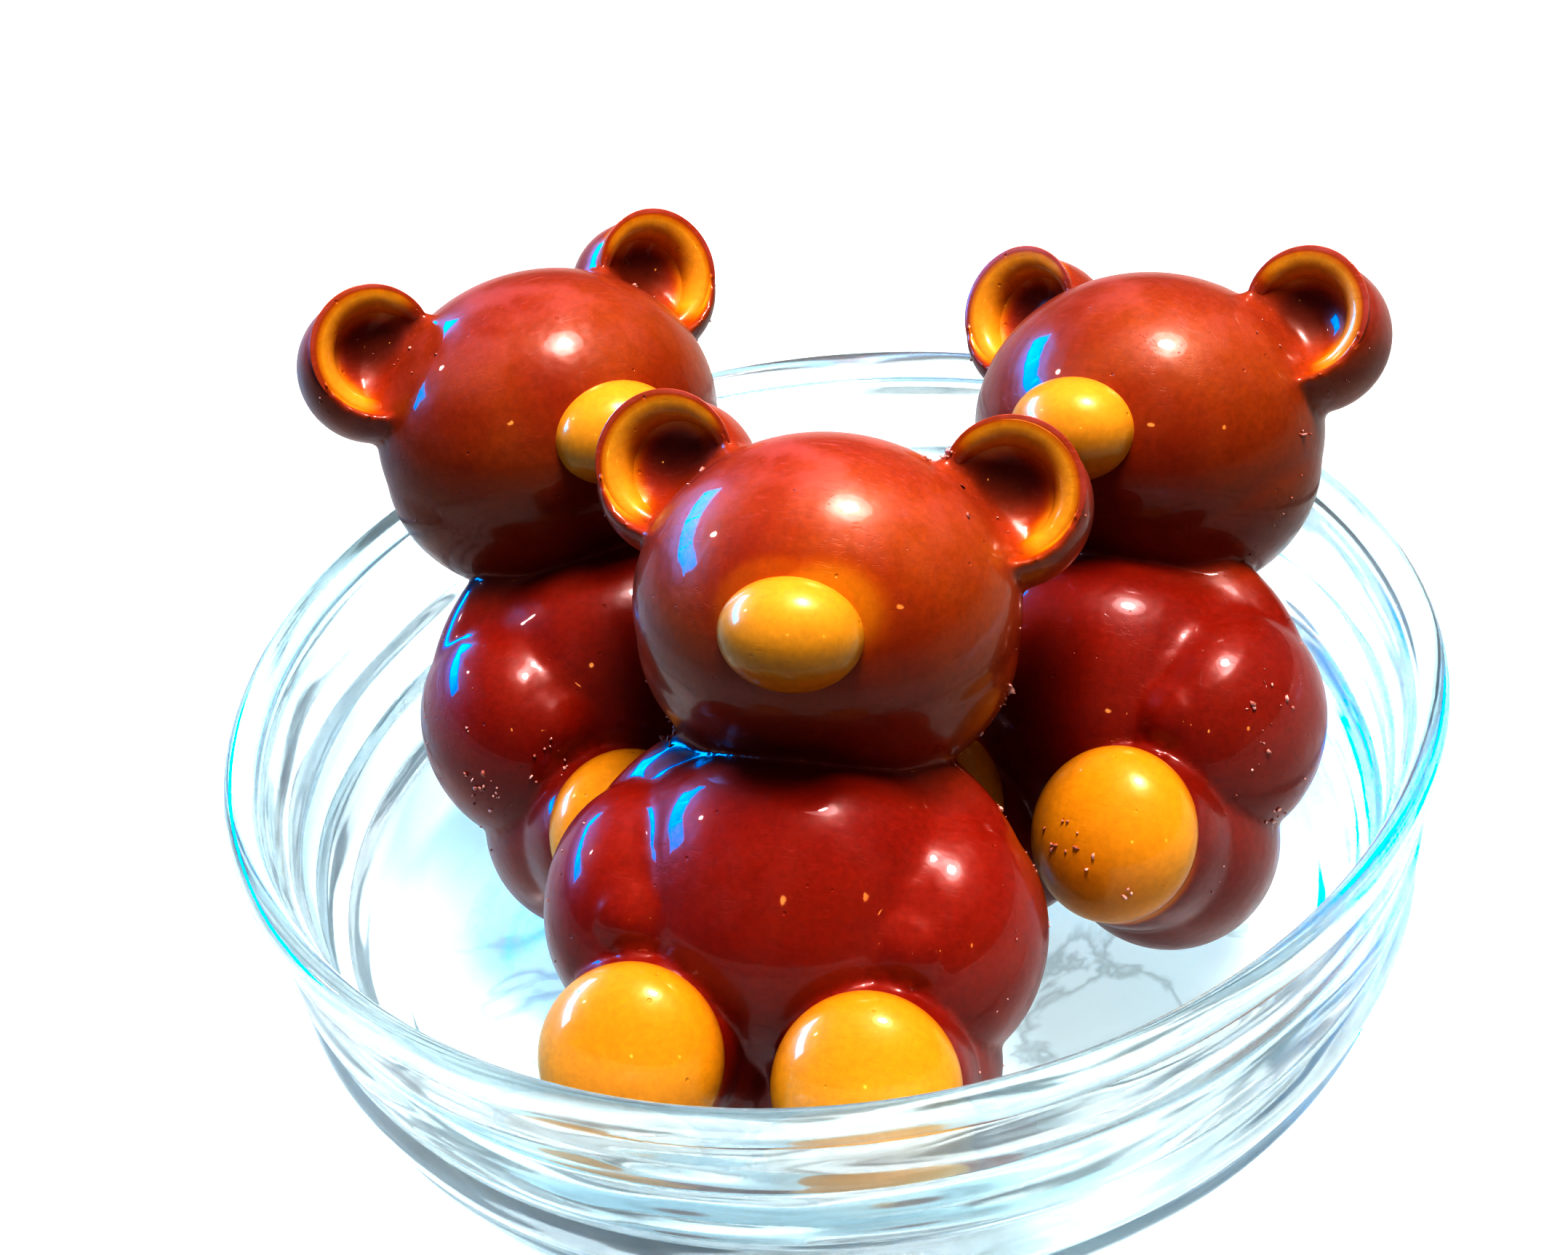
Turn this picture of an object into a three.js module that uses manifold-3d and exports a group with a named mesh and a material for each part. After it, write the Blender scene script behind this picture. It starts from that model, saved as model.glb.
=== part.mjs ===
// Three moulded chocolate bears leaning back in a small glass bowl with a ribbed wall.
// Millimetres, +Z up. The origin is the centre of the bowl's flat base. The bears face -Y.
// Left and right are as seen from the front, so left is -X.
import * as THREE from "three";
import { mergeVertices } from "three/addons/utils/BufferGeometryUtils.js";
import Module from "manifold-3d";

const wasm = await Module();
wasm.setup();

// ---- Driving dimensions -------------------------------------------------------------------

const GAP = 0.3; // clearance between a piece and the piece that it sits on

// The bowl. Radii are measured from its axis and heights from its base.
const BOWL = {
  rimRadius: 50,
  height: 34,
  rimWall: 2.3, // thickness of the rounded rim
  rimBandHeight: 2.8, // plain band under the rim, above the first rib
  rimBandBevel: 0.4, // height of the slope under that band
  shoulderRadius: 48.6, // outside of the wall just under the rim band
  cornerRadius: 47.3, // outside of the wall where it starts to bend in
  cornerHeight: 17,
  footRadius: 27, // flat base
  ribs: 3,
  ribDepth: 0.55, // how far a rib stands out of the wall
  floorHeight: 5, // top of the thick glass floor
  insideCornerRadius: 20.5,
  insideFlatRadius: 25, // where the floor starts to bend up
  segments: 44,
  stepsPerRib: 4,
  stepsOverRim: 4,
  stepsInside: 6, // round the inside corner
};

// One bear, about the centre of its head. half holds the half sizes along X, Y and Z.
const HEAD = { centre: [0, 0, 0], half: [15.3, 13.75, 13.45] };
const TORSO = { centre: [0, 0.35, -22.05], half: [16.65, 13.1, 15.05] };
const ARM = { centre: [12.15, -1.05, -24.55], half: [7.75, 9.05, 9.85], inward: 2.0, forward: 14.7 };
const LEG = { centre: [8.45, -1.7, -34.55], half: [8.85, 10.4, 9.2] };
const CUFF = { centre: [8.95, -7.2, -34.95], half: [7.5, 5.9, 7.5] };
const PAD = { centre: [8.95, -11.9, -35.05], half: [7.1, 4.9, 7.1] };
const SNOUT = { centre: [0, -12.9, -2.85], half: [5.2, 4.3, 4.1] };
const EAR = {
  centre: [13.6, -1.8, 9.85], // middle of the ear's open face
  turn: 6.5, // degrees that the face turns out
  lobeShift: [0.45, 2.3, -1.0], // from the face to the middle of the thick back
  lobeHalf: [6.5, 4.0, 6.5],
  hollowRadius: 6.0, // ball that hollows the ear out
  hollowDepth: 3.1, // below the open face
  rimRadius: 4.35, // middle of the raised rim
  rimThick: 1.15, // half thickness on the outer side
  rimThin: 0.8, // half thickness towards the head
};

// Where each head is, and how each bear sits: turned about Z, leaning back, and tipped sideways.
const BEARS = [
  { name: "front_bear", head: [0.85, -6.2, 45.0], turn: -17.7, lean: 39.3, tip: 2.7 },
  { name: "left_bear", head: [-21.2, 27.5, 44.0], turn: 27.8, lean: 32.8, tip: 6.7 },
  { name: "right_bear", head: [30.3, 18.6, 40.7], turn: -36.0, lean: 42.7, tip: -11.3 },
];

// Facets round and along each kind of lump.
const FACETS = {
  head: [22, 13],
  torso: [20, 11],
  limb: [14, 9],
  cuff: [12, 7],
  ear: [12, 7],
  pad: [14, 7],
  snout: [12, 6],
  rimRound: 6,
  rimAlong: 14,
};

const MATERIALS = {
  chocolate: new THREE.MeshStandardMaterial({ color: 0x6e1d0e, roughness: 0.22, metalness: 0 }),
  caramel: new THREE.MeshStandardMaterial({ color: 0xdd8a16, roughness: 0.28, metalness: 0 }),
  glass: new THREE.MeshStandardMaterial({
    color: 0xd9edf2,
    roughness: 0.03,
    metalness: 0,
    transparent: true,
    opacity: 0.35,
  }),
};

// ---- Helpers ------------------------------------------------------------------------------

const radians = THREE.MathUtils.degToRad;

// A closed geometry as a manifold-3d solid.
function toSolid(geometry) {
  const bare = geometry.clone();
  bare.deleteAttribute("normal");
  bare.deleteAttribute("uv");
  const merged = mergeVertices(bare, 1e-4);
  return new wasm.Manifold(
    new wasm.Mesh({
      numProp: 3,
      vertProperties: merged.attributes.position.array,
      triVerts: new Uint32Array(merged.index.array),
    }),
  );
}

// A manifold-3d solid as a geometry.
function toGeometry(solid) {
  const mesh = solid.getMesh();
  const geometry = new THREE.BufferGeometry();
  geometry.setAttribute("position", new THREE.BufferAttribute(mesh.vertProperties, 3));
  geometry.setIndex(new THREE.BufferAttribute(mesh.triVerts, 1));
  geometry.computeVertexNormals();
  return geometry;
}

// A rounded lump: a ball stretched to its half sizes, grown by some clearance and turned.
// Its poles point forwards and backwards. side is -1 for the left copy and 1 for the right one.
function lump(shape, facets, side = 1, grow = 0) {
  const [halfX, halfY, halfZ] = shape.half;
  const [x, y, z] = shape.centre;
  return new THREE.SphereGeometry(1, ...facets)
    .rotateX(Math.PI / 2)
    .scale(halfX + grow, halfY + grow, halfZ + grow)
    .rotateX(-radians(shape.forward ?? 0))
    .rotateY(radians(shape.inward ?? 0) * side)
    .translate(x * side, y, z);
}

function named(name, geometry, material) {
  const mesh = new THREE.Mesh(geometry, material);
  mesh.name = name;
  return mesh;
}

// ---- The bowl -----------------------------------------------------------------------------

// Outside of the wall from the foot up to the rim band: a round corner, then a nearly upright
// wall, with the ribs bulging out of both.
function outsideOfBowl() {
  const points = [];
  const cornerWidth = BOWL.cornerRadius - BOWL.footRadius;
  const wallTop = BOWL.height - BOWL.rimBandHeight;
  const steps = BOWL.ribs * BOWL.stepsPerRib;
  for (let i = 0; i <= steps; i += 1) {
    const height = (wallTop * i) / steps;
    const rib = BOWL.ribDepth * Math.abs(Math.sin((Math.PI * BOWL.ribs * i) / steps));
    const bend = Math.max(0, 1 - height / BOWL.cornerHeight);
    const rise = Math.max(0, height - BOWL.cornerHeight) / (wallTop - BOWL.cornerHeight);
    const radius =
      BOWL.footRadius +
      cornerWidth * Math.sqrt(1 - bend ** 2) +
      (BOWL.shoulderRadius - BOWL.cornerRadius) * rise;
    points.push(new THREE.Vector2(radius + (i === 0 ? 0 : rib), height));
  }
  return points;
}

// The rounded rim, from the outside over the top to the inside.
function rimOfBowl() {
  const half = BOWL.rimWall / 2;
  const middle = BOWL.rimRadius - half;
  const bandFoot = BOWL.height - BOWL.rimBandHeight + BOWL.rimBandBevel;
  const points = [new THREE.Vector2(BOWL.rimRadius, bandFoot)];
  for (let i = 0; i <= BOWL.stepsOverRim; i += 1) {
    const angle = (Math.PI * i) / BOWL.stepsOverRim;
    const height = BOWL.height - half + half * Math.sin(angle);
    points.push(new THREE.Vector2(middle + half * Math.cos(angle), height));
  }
  return points;
}

// The smooth inside, from the rim down the wall and round the corner to the floor.
function insideOfBowl() {
  const points = [];
  const centreHeight = BOWL.floorHeight + BOWL.insideCornerRadius;
  for (let i = 0; i <= BOWL.stepsInside; i += 1) {
    const angle = ((Math.PI / 2) * i) / BOWL.stepsInside;
    const radius = BOWL.insideFlatRadius + BOWL.insideCornerRadius * Math.cos(angle);
    const height = centreHeight - BOWL.insideCornerRadius * Math.sin(angle);
    points.push(new THREE.Vector2(radius, height));
  }
  return points;
}

function makeBowl() {
  const profile = [
    new THREE.Vector2(0, 0),
    ...outsideOfBowl(),
    ...rimOfBowl(),
    ...insideOfBowl(),
    new THREE.Vector2(0, BOWL.floorHeight),
  ];
  const turned = new THREE.LatheGeometry(profile, BOWL.segments).rotateX(Math.PI / 2);
  return named("bowl", toGeometry(toSolid(turned)), MATERIALS.glass);
}

// ---- One bear -----------------------------------------------------------------------------

// Turns a geometry made about the ear's open face, which looks along -Y, into its place.
function placeOnEar(geometry, side) {
  const [x, y, z] = EAR.centre;
  return geometry.rotateZ(radians(EAR.turn) * side).translate(x * side, y, z);
}

// The thick rounded back of an ear.
function earLobe(side) {
  const [x, y, z] = EAR.lobeShift;
  const shape = { centre: [x, y, z], half: EAR.lobeHalf };
  return placeOnEar(lump(shape, FACETS.ear, side), side);
}

// The ball that hollows out an ear from the front.
function earHollow(side) {
  const r = EAR.hollowRadius;
  const shape = { centre: [0, EAR.hollowDepth - r, 0], half: [r, r, r] };
  return placeOnEar(lump(shape, FACETS.ear, side), side);
}

// The raised rim: a ring that is thickest away from the head.
function earRim(side, grow = 0) {
  const ring = new THREE.TorusGeometry(EAR.rimRadius, 1, FACETS.rimRound, FACETS.rimAlong);
  const outward = new THREE.Vector2(EAR.centre[0] * side, EAR.centre[2]).normalize();
  const positions = ring.getAttribute("position");
  const point = new THREE.Vector3();
  const middle = new THREE.Vector3();
  for (let i = 0; i < positions.count; i += 1) {
    point.fromBufferAttribute(positions, i);
    middle.set(point.x, point.y, 0).setLength(EAR.rimRadius);
    const facing = (middle.x * outward.x + middle.y * outward.y) / EAR.rimRadius;
    const thickness = THREE.MathUtils.lerp(EAR.rimThin, EAR.rimThick, (1 + facing) / 2) + grow;
    point.sub(middle).multiplyScalar(thickness).add(middle);
    positions.setXYZ(i, point.x, point.y, point.z);
  }
  return placeOnEar(ring.rotateX(Math.PI / 2), side);
}

// Head, ears, torso, arms and legs are moulded in one.
function bearBody() {
  let body = toSolid(lump(TORSO, FACETS.torso));
  for (const side of [-1, 1]) {
    const ear = toSolid(earLobe(side))
      .subtract(toSolid(earHollow(side)))
      .subtract(toSolid(earRim(side, GAP)));
    body = body
      .add(ear)
      .add(toSolid(lump(ARM, FACETS.limb, side)))
      .add(toSolid(lump(LEG, FACETS.limb, side)))
      .add(toSolid(lump(CUFF, FACETS.cuff, side)));
  }
  return body.add(toSolid(lump(HEAD, FACETS.head)));
}

// The snout is a dome on the front of the head.
function bearSnout() {
  const face = toSolid(lump(HEAD, FACETS.head, 1, GAP));
  return toSolid(lump(SNOUT, FACETS.snout)).subtract(face);
}

// A foot pad is a dome on the front of a leg.
function footPad(side) {
  return toSolid(lump(PAD, FACETS.pad, side))
    .subtract(toSolid(lump(CUFF, FACETS.cuff, side, GAP)))
    .subtract(toSolid(lump(LEG, FACETS.limb, side, GAP)))
    .subtract(toSolid(lump(TORSO, FACETS.torso, 1, GAP)));
}

// What is left of the rim outside the head.
function openEarRim(side) {
  return toSolid(earRim(side)).subtract(toSolid(lump(HEAD, FACETS.head, 1, GAP)));
}

function makeBear({ name, head, turn, lean, tip }) {
  const bear = new THREE.Group();
  bear.add(named(name + "_body", toGeometry(bearBody()), MATERIALS.chocolate));
  bear.add(named(name + "_snout", toGeometry(bearSnout()), MATERIALS.caramel));
  for (const [side, word] of [
    [-1, "left"],
    [1, "right"],
  ]) {
    bear.add(named(`${name}_${word}_pad`, toGeometry(footPad(side)), MATERIALS.caramel));
    bear.add(named(`${name}_${word}_ear_rim`, toGeometry(openEarRim(side)), MATERIALS.caramel));
  }
  bear.position.set(...head);
  bear.rotation.set(-radians(lean), radians(tip), radians(turn), "ZYX");
  return bear;
}

// ---- The whole part -----------------------------------------------------------------------

const group = new THREE.Group();
group.add(makeBowl());
for (const bear of BEARS) group.add(makeBear(bear));

export default group;
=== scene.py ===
"""Three moulded chocolate bears leaning back in a small ribbed glass bowl.

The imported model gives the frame: metres, +Z up, the bears face -Y, the origin is the centre of the
bowl's base. Shapes are modelled in millimetres and scaled as they are put in their place, and
angles are in degrees. Left and right are as seen from the front, so left is -X.
"""

import math
import random

import bmesh
import bpy
import numpy as np
from mathutils import Euler, Matrix, Vector


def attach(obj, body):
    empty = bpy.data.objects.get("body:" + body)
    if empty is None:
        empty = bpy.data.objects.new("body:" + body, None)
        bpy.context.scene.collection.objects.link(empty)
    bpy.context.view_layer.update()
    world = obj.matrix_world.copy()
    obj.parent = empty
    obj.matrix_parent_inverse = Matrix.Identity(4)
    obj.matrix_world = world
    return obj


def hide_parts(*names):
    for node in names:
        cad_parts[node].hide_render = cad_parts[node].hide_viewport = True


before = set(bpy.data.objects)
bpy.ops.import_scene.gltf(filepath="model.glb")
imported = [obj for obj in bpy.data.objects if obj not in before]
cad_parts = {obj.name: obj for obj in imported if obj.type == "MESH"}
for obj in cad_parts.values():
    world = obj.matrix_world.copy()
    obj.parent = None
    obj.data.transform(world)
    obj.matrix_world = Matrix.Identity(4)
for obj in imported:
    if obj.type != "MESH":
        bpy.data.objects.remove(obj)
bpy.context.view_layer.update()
scene = bpy.context.scene
MM = 0.001
MERGE = 1e-4  # points closer than this, in millimetres, are one point
SIDES = {"left": -1, "right": 1}

# ---- One bear, in millimetres about the centre of its head, facing -Y -------------------------

HEAD = dict(centre=(0, 0, 0), half=(15.3, 13.75, 13.45), rings=72)
JOWLS = dict(centre=(0, 1.0, -2.3), half=(15.15, 12.2, 12.45), rings=72)
SHOULDERS = dict(centre=(0, 0.2, -24.5), half=(18.9, 6.6, 16.7), rings=72)
CHEST = dict(
    centre=(0, 0.35, -24.3), half=(14.3, 13.1, 12.9), fullness=2.8, towards=(0, 0, 1), rings=72
)
ARM = dict(
    centre=(12.15, -1.05, -24.7), half=(7.65, 9.05, 9.85), inward=2.0, forward=14.7, rings=60
)
HAND = dict(centre=(10.9, -6.3, -25.1), half=(4.1, 4.7, 4.0))
LEG = dict(centre=(8.45, -1.7, -34.55), half=(8.85, 10.4, 9.2), rings=60)
FOOT = dict(
    centre=(8.95, -6.0, -35.0), half=(7.5, 6.9, 7.5), fullness=4.0, towards=(0, -1, 0), rings=72
)
GROOVE = (  # from the neck down between arm and chest, each with the reach of its softening
    ((10.5, -4.0, -13.5), 3.6),
    ((11.8, -5.5, -17.0), 4.2),
    ((11.8, -7.3, -20.0), 3.8),
    ((10.6, -9.2, -22.5), 2.8),
    ((10.2, -9.9, -25.5), 2.6),
)
PAD = dict(centre=(8.95, -11.9, -35.05), half=(7.1, 4.9, 7.1), rings=84)
PAD_EDGE = -10.9  # the plane behind which a pad ends
SNOUT = dict(centre=(0.3, -12.9, -2.7), half=(5.5, 4.3, 4.3), rings=72)
EAR = dict(centre=(13.6, -1.8, 9.85), turn=6.5, root=(-3.2, 1.2, -2.4))
EAR_LOBE = dict(
    centre=(0.15, 3.9, -0.95), half=(6.5, 5.9, 6.5), fullness=2.6, towards=(0, -1, 0), rings=72
)
EAR_HOLLOW = dict(radius=6.0, depth=3.1, rings=60)
LIP = dict(
    radius=4.7,
    sink=0.85,
    slope=42.0,
    wide=1.7,
    high=0.85,
    sweep=252,
    ends=0.45,  # size of the ends beside the middle's
    ends_sink=0.5,
    swell=0.6,
    steps=72,
    round_points=24,
)
SKIN = dict(voxel=0.32, soften=4, root_reach=5.0, root_soften=60, groove_soften=24)

BEARS = {
    "front_bear": dict(
        head=(0.85, -6.2, 45.0),
        turn=-17.7,
        lean=39.3,
        tip=2.7,
        seed=3,
        clusters=(  # place on the bear, spread and number of crumbs
            ((-11.4, -1.5, -10.8), 1.0, 9),
            ((7.6, -1.0, 12.2), 0.8, 8),
            ((8.6, -1.4, 12.6), 0.5, 5),
            ((15.3, 1.0, -14.6), 0.6, 5),
            ((14.2, 1.2, -7.0), 2.4, 12),
        ),
    ),
    "left_bear": dict(
        head=(-21.2, 27.5, 44.0),
        turn=27.8,
        lean=32.8,
        tip=6.7,
        seed=11,
        clusters=(
            ((-17.0, -5.0, -27.5), 1.1, 16),
            ((-13.0, -8.6, -27.4), 0.9, 7),
            ((-11.6, -9.2, -26.4), 0.8, 5),
        ),
    ),
    "right_bear": dict(
        head=(30.3, 18.6, 40.7),
        turn=-36.0,
        lean=42.7,
        tip=-11.3,
        seed=23,
        clusters=(
            ((15.2, -1.5, -0.3), 0.4, 4),
            ((18.2, -5.7, -24.0), 2.6, 12),
            ((16.8, -1.0, -31.6), 1.0, 7),
            ((6.8, -16.5, -35.6), 2.0, 9),
            ((9.4, -16.6, -37.2), 1.0, 4),
            ((12.8, -14.7, -39.4), 0.6, 4),
        ),
    ),
}

# ---- Crumbs, in millimetres: along the mould's seam, on the arms and at the feet of the ears ------

SEAM = dict(plane=-0.4, within=0.35, low=-36, high=9, count=40, size=0.12)
ARM_BITS = dict(plane=-6.6, within=0.3, outside=15.5, count=16, size=0.11)
EAR_BITS = dict(place=(-4.6, -0.8, -3.2), spread=1.2, count=3)
CRUMB = dict(sizes=(0.12, 0.3), ragged=(0.45, 1.25), stretch=(0.3, 1.5), proud=0.3)

# ---- The bowl, radii from its axis and heights from its base -----------------------------------

BOWL = dict(
    rim_radius=50.0,
    height=34.0,
    rim_wall=2.3,
    rim_band=3.0,
    band_step=0.9,
    band_foot=0.1,
    band_round=0.8,
    shoulder=48.6,
    corner_radius=47.3,
    corner_height=17.0,
    foot=27.0,
    ribs=5,
    rib_depth=0.6,
    rib_fullness=0.8,
    rib_start=2.0,  # the height below which the ribs fade out
    rib_points=12,
    band_points=4,
    rim_points=12,
    wall_points=6,
    corner_points=24,
    floor=5.0,
    inside_corner=20.5,
    inside_flat=25.0,
    steps=176,
)

# ---- Camera, for a picture 2156 wide and 1725 high ---------------------------------------------

CAMERA = dict(
    focal_px=3738.0,
    picture_width=2156,
    sensor=36.0,
    distance=223.45,
    elevation=37.66,
    pitch=0.97,
    yaw=0.73,
    roll=-7.67,
    clip=(0.01, 20.0),
)
PICTURE = dict(contrast=1.6, exposure=0.95, blue_hues=(0.6, 0.7), vivid_blues=1.15)

# ---- Lamps, each with its direction from the bowl, and the room, in metres and watts -----------

LAMP_TARGET = (0, 0, 0.04)
GLEAMS = {  # lamps that show only as reflections
    "ceiling lamp": dict(
        towards=(0.25, 0.18, 0.95), distance=0.22, size=(0.028,), power=0.42, colour=(1, 0.98, 0.95)
    ),
    "lamp shade": dict(
        towards=(0.25, 0.18, 0.95), distance=0.23, size=(0.08,), power=0.11, colour=(1, 0.86, 0.9)
    ),
    "window lamp": dict(
        towards=(-0.72, 0.32, 0.62), distance=0.5, size=(0.025,), power=0.1, colour=(1, 0.93, 0.85)
    ),
    "window frame": dict(
        towards=(-0.8, 0.55, 0.36),
        distance=0.74,
        size=(0.6, 0.28),
        power=0.8,
        colour=(0.12, 0.2, 1),
    ),
}
WINDOW = dict(panes=(-70, -54, -38), rise=21)  # panes are turned from straight behind the bowl
PANE = dict(distance=0.7, size=(0.19, 0.13), power=2.5, colour=(0.0, 0.42, 1.0))
SOFT_BOX = dict(
    towards=(0.16, 0.08, 0.98), distance=0.8, size=(0.3, 0.3), power=9.5, colour=(1, 0.98, 0.95)
)
WARM_LAMPS = {
    "warm lamp": dict(
        towards=(0.56, -0.71, 0.42), distance=0.8, size=(0.045,), power=0.14, colour=(1, 0.55, 0.15)
    ),
    "warm glow": dict(
        towards=(-0.22, -0.76, 0.61), distance=0.8, size=(0.04,), power=0.12, colour=(1, 0.62, 0.2)
    ),
}
ROOM = (  # from the floor up
    (0.0, (0.16, 0.15, 0.15)),
    (0.5, (0.08, 0.09, 0.10)),
    (0.7, (0.12, 0.12, 0.14)),
    (1.0, (0.30, 0.30, 0.31)),
)
ROOM_LEFT = (0.05, 0.09, 0.20, 1)
GLASS_SIDES = dict(right=(0.62, 0.84, 0.95, 1), left=(0.26, 0.38, 0.90, 1))  # seen in the glass
BACKDROP = (0.8, 0.8, 0.8, 1)

# ---- Finishes: colours are linear, heights are on a bear ---------------------------------------

# painted light and shade: the face's browns are lighter and more orange than the belly's darker,
# redder ones
LIT_FACE_BROWNS = (
    (0.3, (0.31, 0.032, 0.002)),
    (0.52, (0.37, 0.066, 0.003)),
    (0.75, (0.43, 0.110, 0.004)),
)
SHADED_BELLY_BROWNS = ((0.3, (0.25, 0.012, 0.002)), (0.7, (0.32, 0.025, 0.003)))
FACE_TO_BELLY = (-5.0, -15.0)  # the heights between which one brown gives way to the other
# painted shade: the colour that the dishes, the neck and the two back bears darken towards
PAINTED_SHADE_BROWN = (0.070, 0.010, 0.004, 1)
BLOOM_AND_PAINTED_SHEEN = dict(  # a pink bloom from scuffs and a painted sheen, both rising towards the top of the head, with their share at a lower and an upper height
    colour=(0.56, 0.15, 0.15, 1), bloom=0.7, least=0.25, heights=(2.0, 12.0), shares=(0.1, 0.62)
)
SPECKS = dict(shades=((0.3, 0.86), (0.7, 1.12)), in_toffee=0.6)
WHOLE_HEIGHT = (-44.0, 14.0)
PAINTED_SHADE_BY_HEIGHT = (  # painted shade by height, from the feet up: belly, chest, chin, face; darker low on the belly and under the chin
    (0.05, 0.62),
    (0.28, 0.85),
    (0.42, 1.0),
    (0.51, 0.92),
    (0.60, 0.82),
    (0.72, 1.0),
)
TOFFEES = (  # from the thinnest coat to the thickest
    (0.0, (0.34, 0.04, 0.002)),
    (0.35, (0.44, 0.10, 0.003)),
    (0.62, (0.57, 0.205, 0.006)),
    (0.88, (0.65, 0.295, 0.014)),
    (1.0, (0.71, 0.35, 0.032)),
)
SHAVINGS = ((0.35, (0.42, 0.14, 0.10)), (0.65, (0.85, 0.50, 0.44)))
MARKS = dict(dents=0.35, cuts=0.06, pores=0.25, dullness=0.14, bloom=0.8)
GLASS = dict(
    tints=((0.4, (0.72, 0.925, 0.985)), (0.6, (0.95, 0.985, 1.0))),
    # glow is a faint painted glow: the glass gives off light of its own
    glow=(0.4, 0.85, 1.0, 1),
    painted_glow_strength=0.018,
    clear=(0.94, 0.985, 0.985, 1),
    clearness=0.1,
    bounces=3.0,  # the depth past which a ray goes straight through
)
FLOOR = dict(
    half_width=3.0,
    drop=0.0003,
    bowl=((0, 0, 0), (0.047, 0.047, 1)),  # centre and half sizes, as for the shade
    shade=((0.004, 0.044, 0), (0.036, 0.034, 1)),
    shades=((0.0, (1, 1, 1)), (0.6, (0.60, 0.555, 0.54))),
    veins=((0.455, (1, 1, 1)), (0.5, (0.70, 0.71, 0.71)), (0.53, (1, 1, 1))),
    body=(0.36, 0.36, 0.355, 1),
    glow=0.56,
    glow_less_in_gloss=0.36,
)

# ---- Mesh helpers ------------------------------------------------------------------------------


def new_piece(name, mesh):
    piece = bpy.data.objects.new(name, mesh)
    scene.collection.objects.link(piece)
    return piece


def mesh_of(bm, name):
    mesh = bpy.data.meshes.new(name)
    bm.to_mesh(mesh)
    bm.free()
    return mesh


def with_modifier(mesh, kind, **settings):
    """The mesh after one modifier; mesh itself is used up."""
    holder = new_piece("holder", mesh)
    modifier = holder.modifiers.new(kind.lower(), kind)
    for key, value in settings.items():
        setattr(modifier, key, value)
    ready = holder.evaluated_get(bpy.context.evaluated_depsgraph_get())
    result = bpy.data.meshes.new_from_object(ready)
    bpy.data.objects.remove(holder)
    bpy.data.meshes.remove(mesh)
    return result


def lump(
    bm, centre, half, side=1, inward=0.0, forward=0.0, fullness=2.0, towards=(0, 0, 1), rings=40
):
    """A ball stretched to its half sizes and turned. side mirrors its place.

    fullness over 2 squares up the half of the ball on the side that towards says.
    """
    ball = bmesh.ops.create_uvsphere(bm, u_segments=rings, v_segments=rings * 2 // 3, radius=1)
    for v in ball["verts"]:
        along = min(v.co.dot(towards), 1.0)
        if along > 0:
            around = math.sqrt(1 - along * along)
            v.co *= (along**fullness + around**fullness) ** (-1 / fullness)
    x, y, z = centre
    place = (
        Matrix.Translation((x * side, y, z))
        @ Matrix.Rotation(math.radians(inward) * side, 4, "Y")
        @ Matrix.Rotation(-math.radians(forward), 4, "X")
        @ Matrix.Diagonal((*half, 1))
    )
    bmesh.ops.transform(bm, matrix=place, verts=ball["verts"])


def near(bm, centre, reach):
    return [v for v in bm.verts if (v.co - centre).length < reach]


def soften(bm, verts, times):
    for _ in range(times):
        bmesh.ops.smooth_vert(
            bm, verts=verts, factor=0.5, use_axis_x=True, use_axis_y=True, use_axis_z=True
        )


def mirrored(place, side):
    """A place given for the right side, on the side that is asked for."""
    x, y, z = place
    return Vector((x * side, y, z))


# ---- The moulds of a bear ----------------------------------------------------------------------


def ear_frame(side):
    """From an ear's own frame, whose open face looks along -Y, to the bear's."""
    turn = Matrix.Rotation(math.radians(EAR["turn"]) * side, 4, "Z")
    return Matrix.Translation(mirrored(EAR["centre"], side)) @ turn


def ear_outward(side):
    """The direction across an ear's face that points away from the head, as an angle."""
    x, _, z = EAR["centre"]
    return math.atan2(z, x * side)


def ear_lobe(side):
    """The thick back of an ear with the dish scooped out of its front."""
    bm = bmesh.new()
    lump(bm, side=side, **EAR_LOBE)
    lobe = mesh_of(bm, "lobe")
    bm = bmesh.new()
    radius = EAR_HOLLOW["radius"]
    centre = (0, EAR_HOLLOW["depth"] - radius, 0)
    lump(bm, centre, (radius,) * 3, side, rings=EAR_HOLLOW["rings"])
    scoop = new_piece("scoop", mesh_of(bm, "scoop"))
    ear = with_modifier(lobe, "BOOLEAN", operation="DIFFERENCE", solver="EXACT", object=scoop)
    bpy.data.objects.remove(scoop)
    ear.transform(ear_frame(side))
    return ear


def body_mould():
    """Head, ears, torso, arms and legs run together under one skin, as a mould makes them."""
    bm = bmesh.new()
    for form in (HEAD, JOWLS, SHOULDERS, CHEST):
        lump(bm, **form)
    for side in SIDES.values():
        for form in (ARM, HAND, LEG, FOOT):
            lump(bm, side=side, **form)
        bm.from_mesh(ear_lobe(side))
    lumps = mesh_of(bm, "lumps")
    skin = with_modifier(lumps, "REMESH", mode="VOXEL", voxel_size=SKIN["voxel"])
    bm = bmesh.new()
    bm.from_mesh(skin)
    bpy.data.meshes.remove(skin)
    soften(bm, bm.verts, SKIN["soften"])
    for side in SIDES.values():
        root = ear_frame(side) @ mirrored(EAR["root"], side)
        soften(bm, near(bm, root, SKIN["root_reach"]), SKIN["root_soften"])
        for place, reach in GROOVE:
            soften(bm, near(bm, mirrored(place, side), reach), SKIN["groove_soften"])
    return mesh_of(bm, "body_mould")


def snout_mould():
    bm = bmesh.new()
    lump(bm, **SNOUT)
    return mesh_of(bm, "snout_mould")


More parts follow.
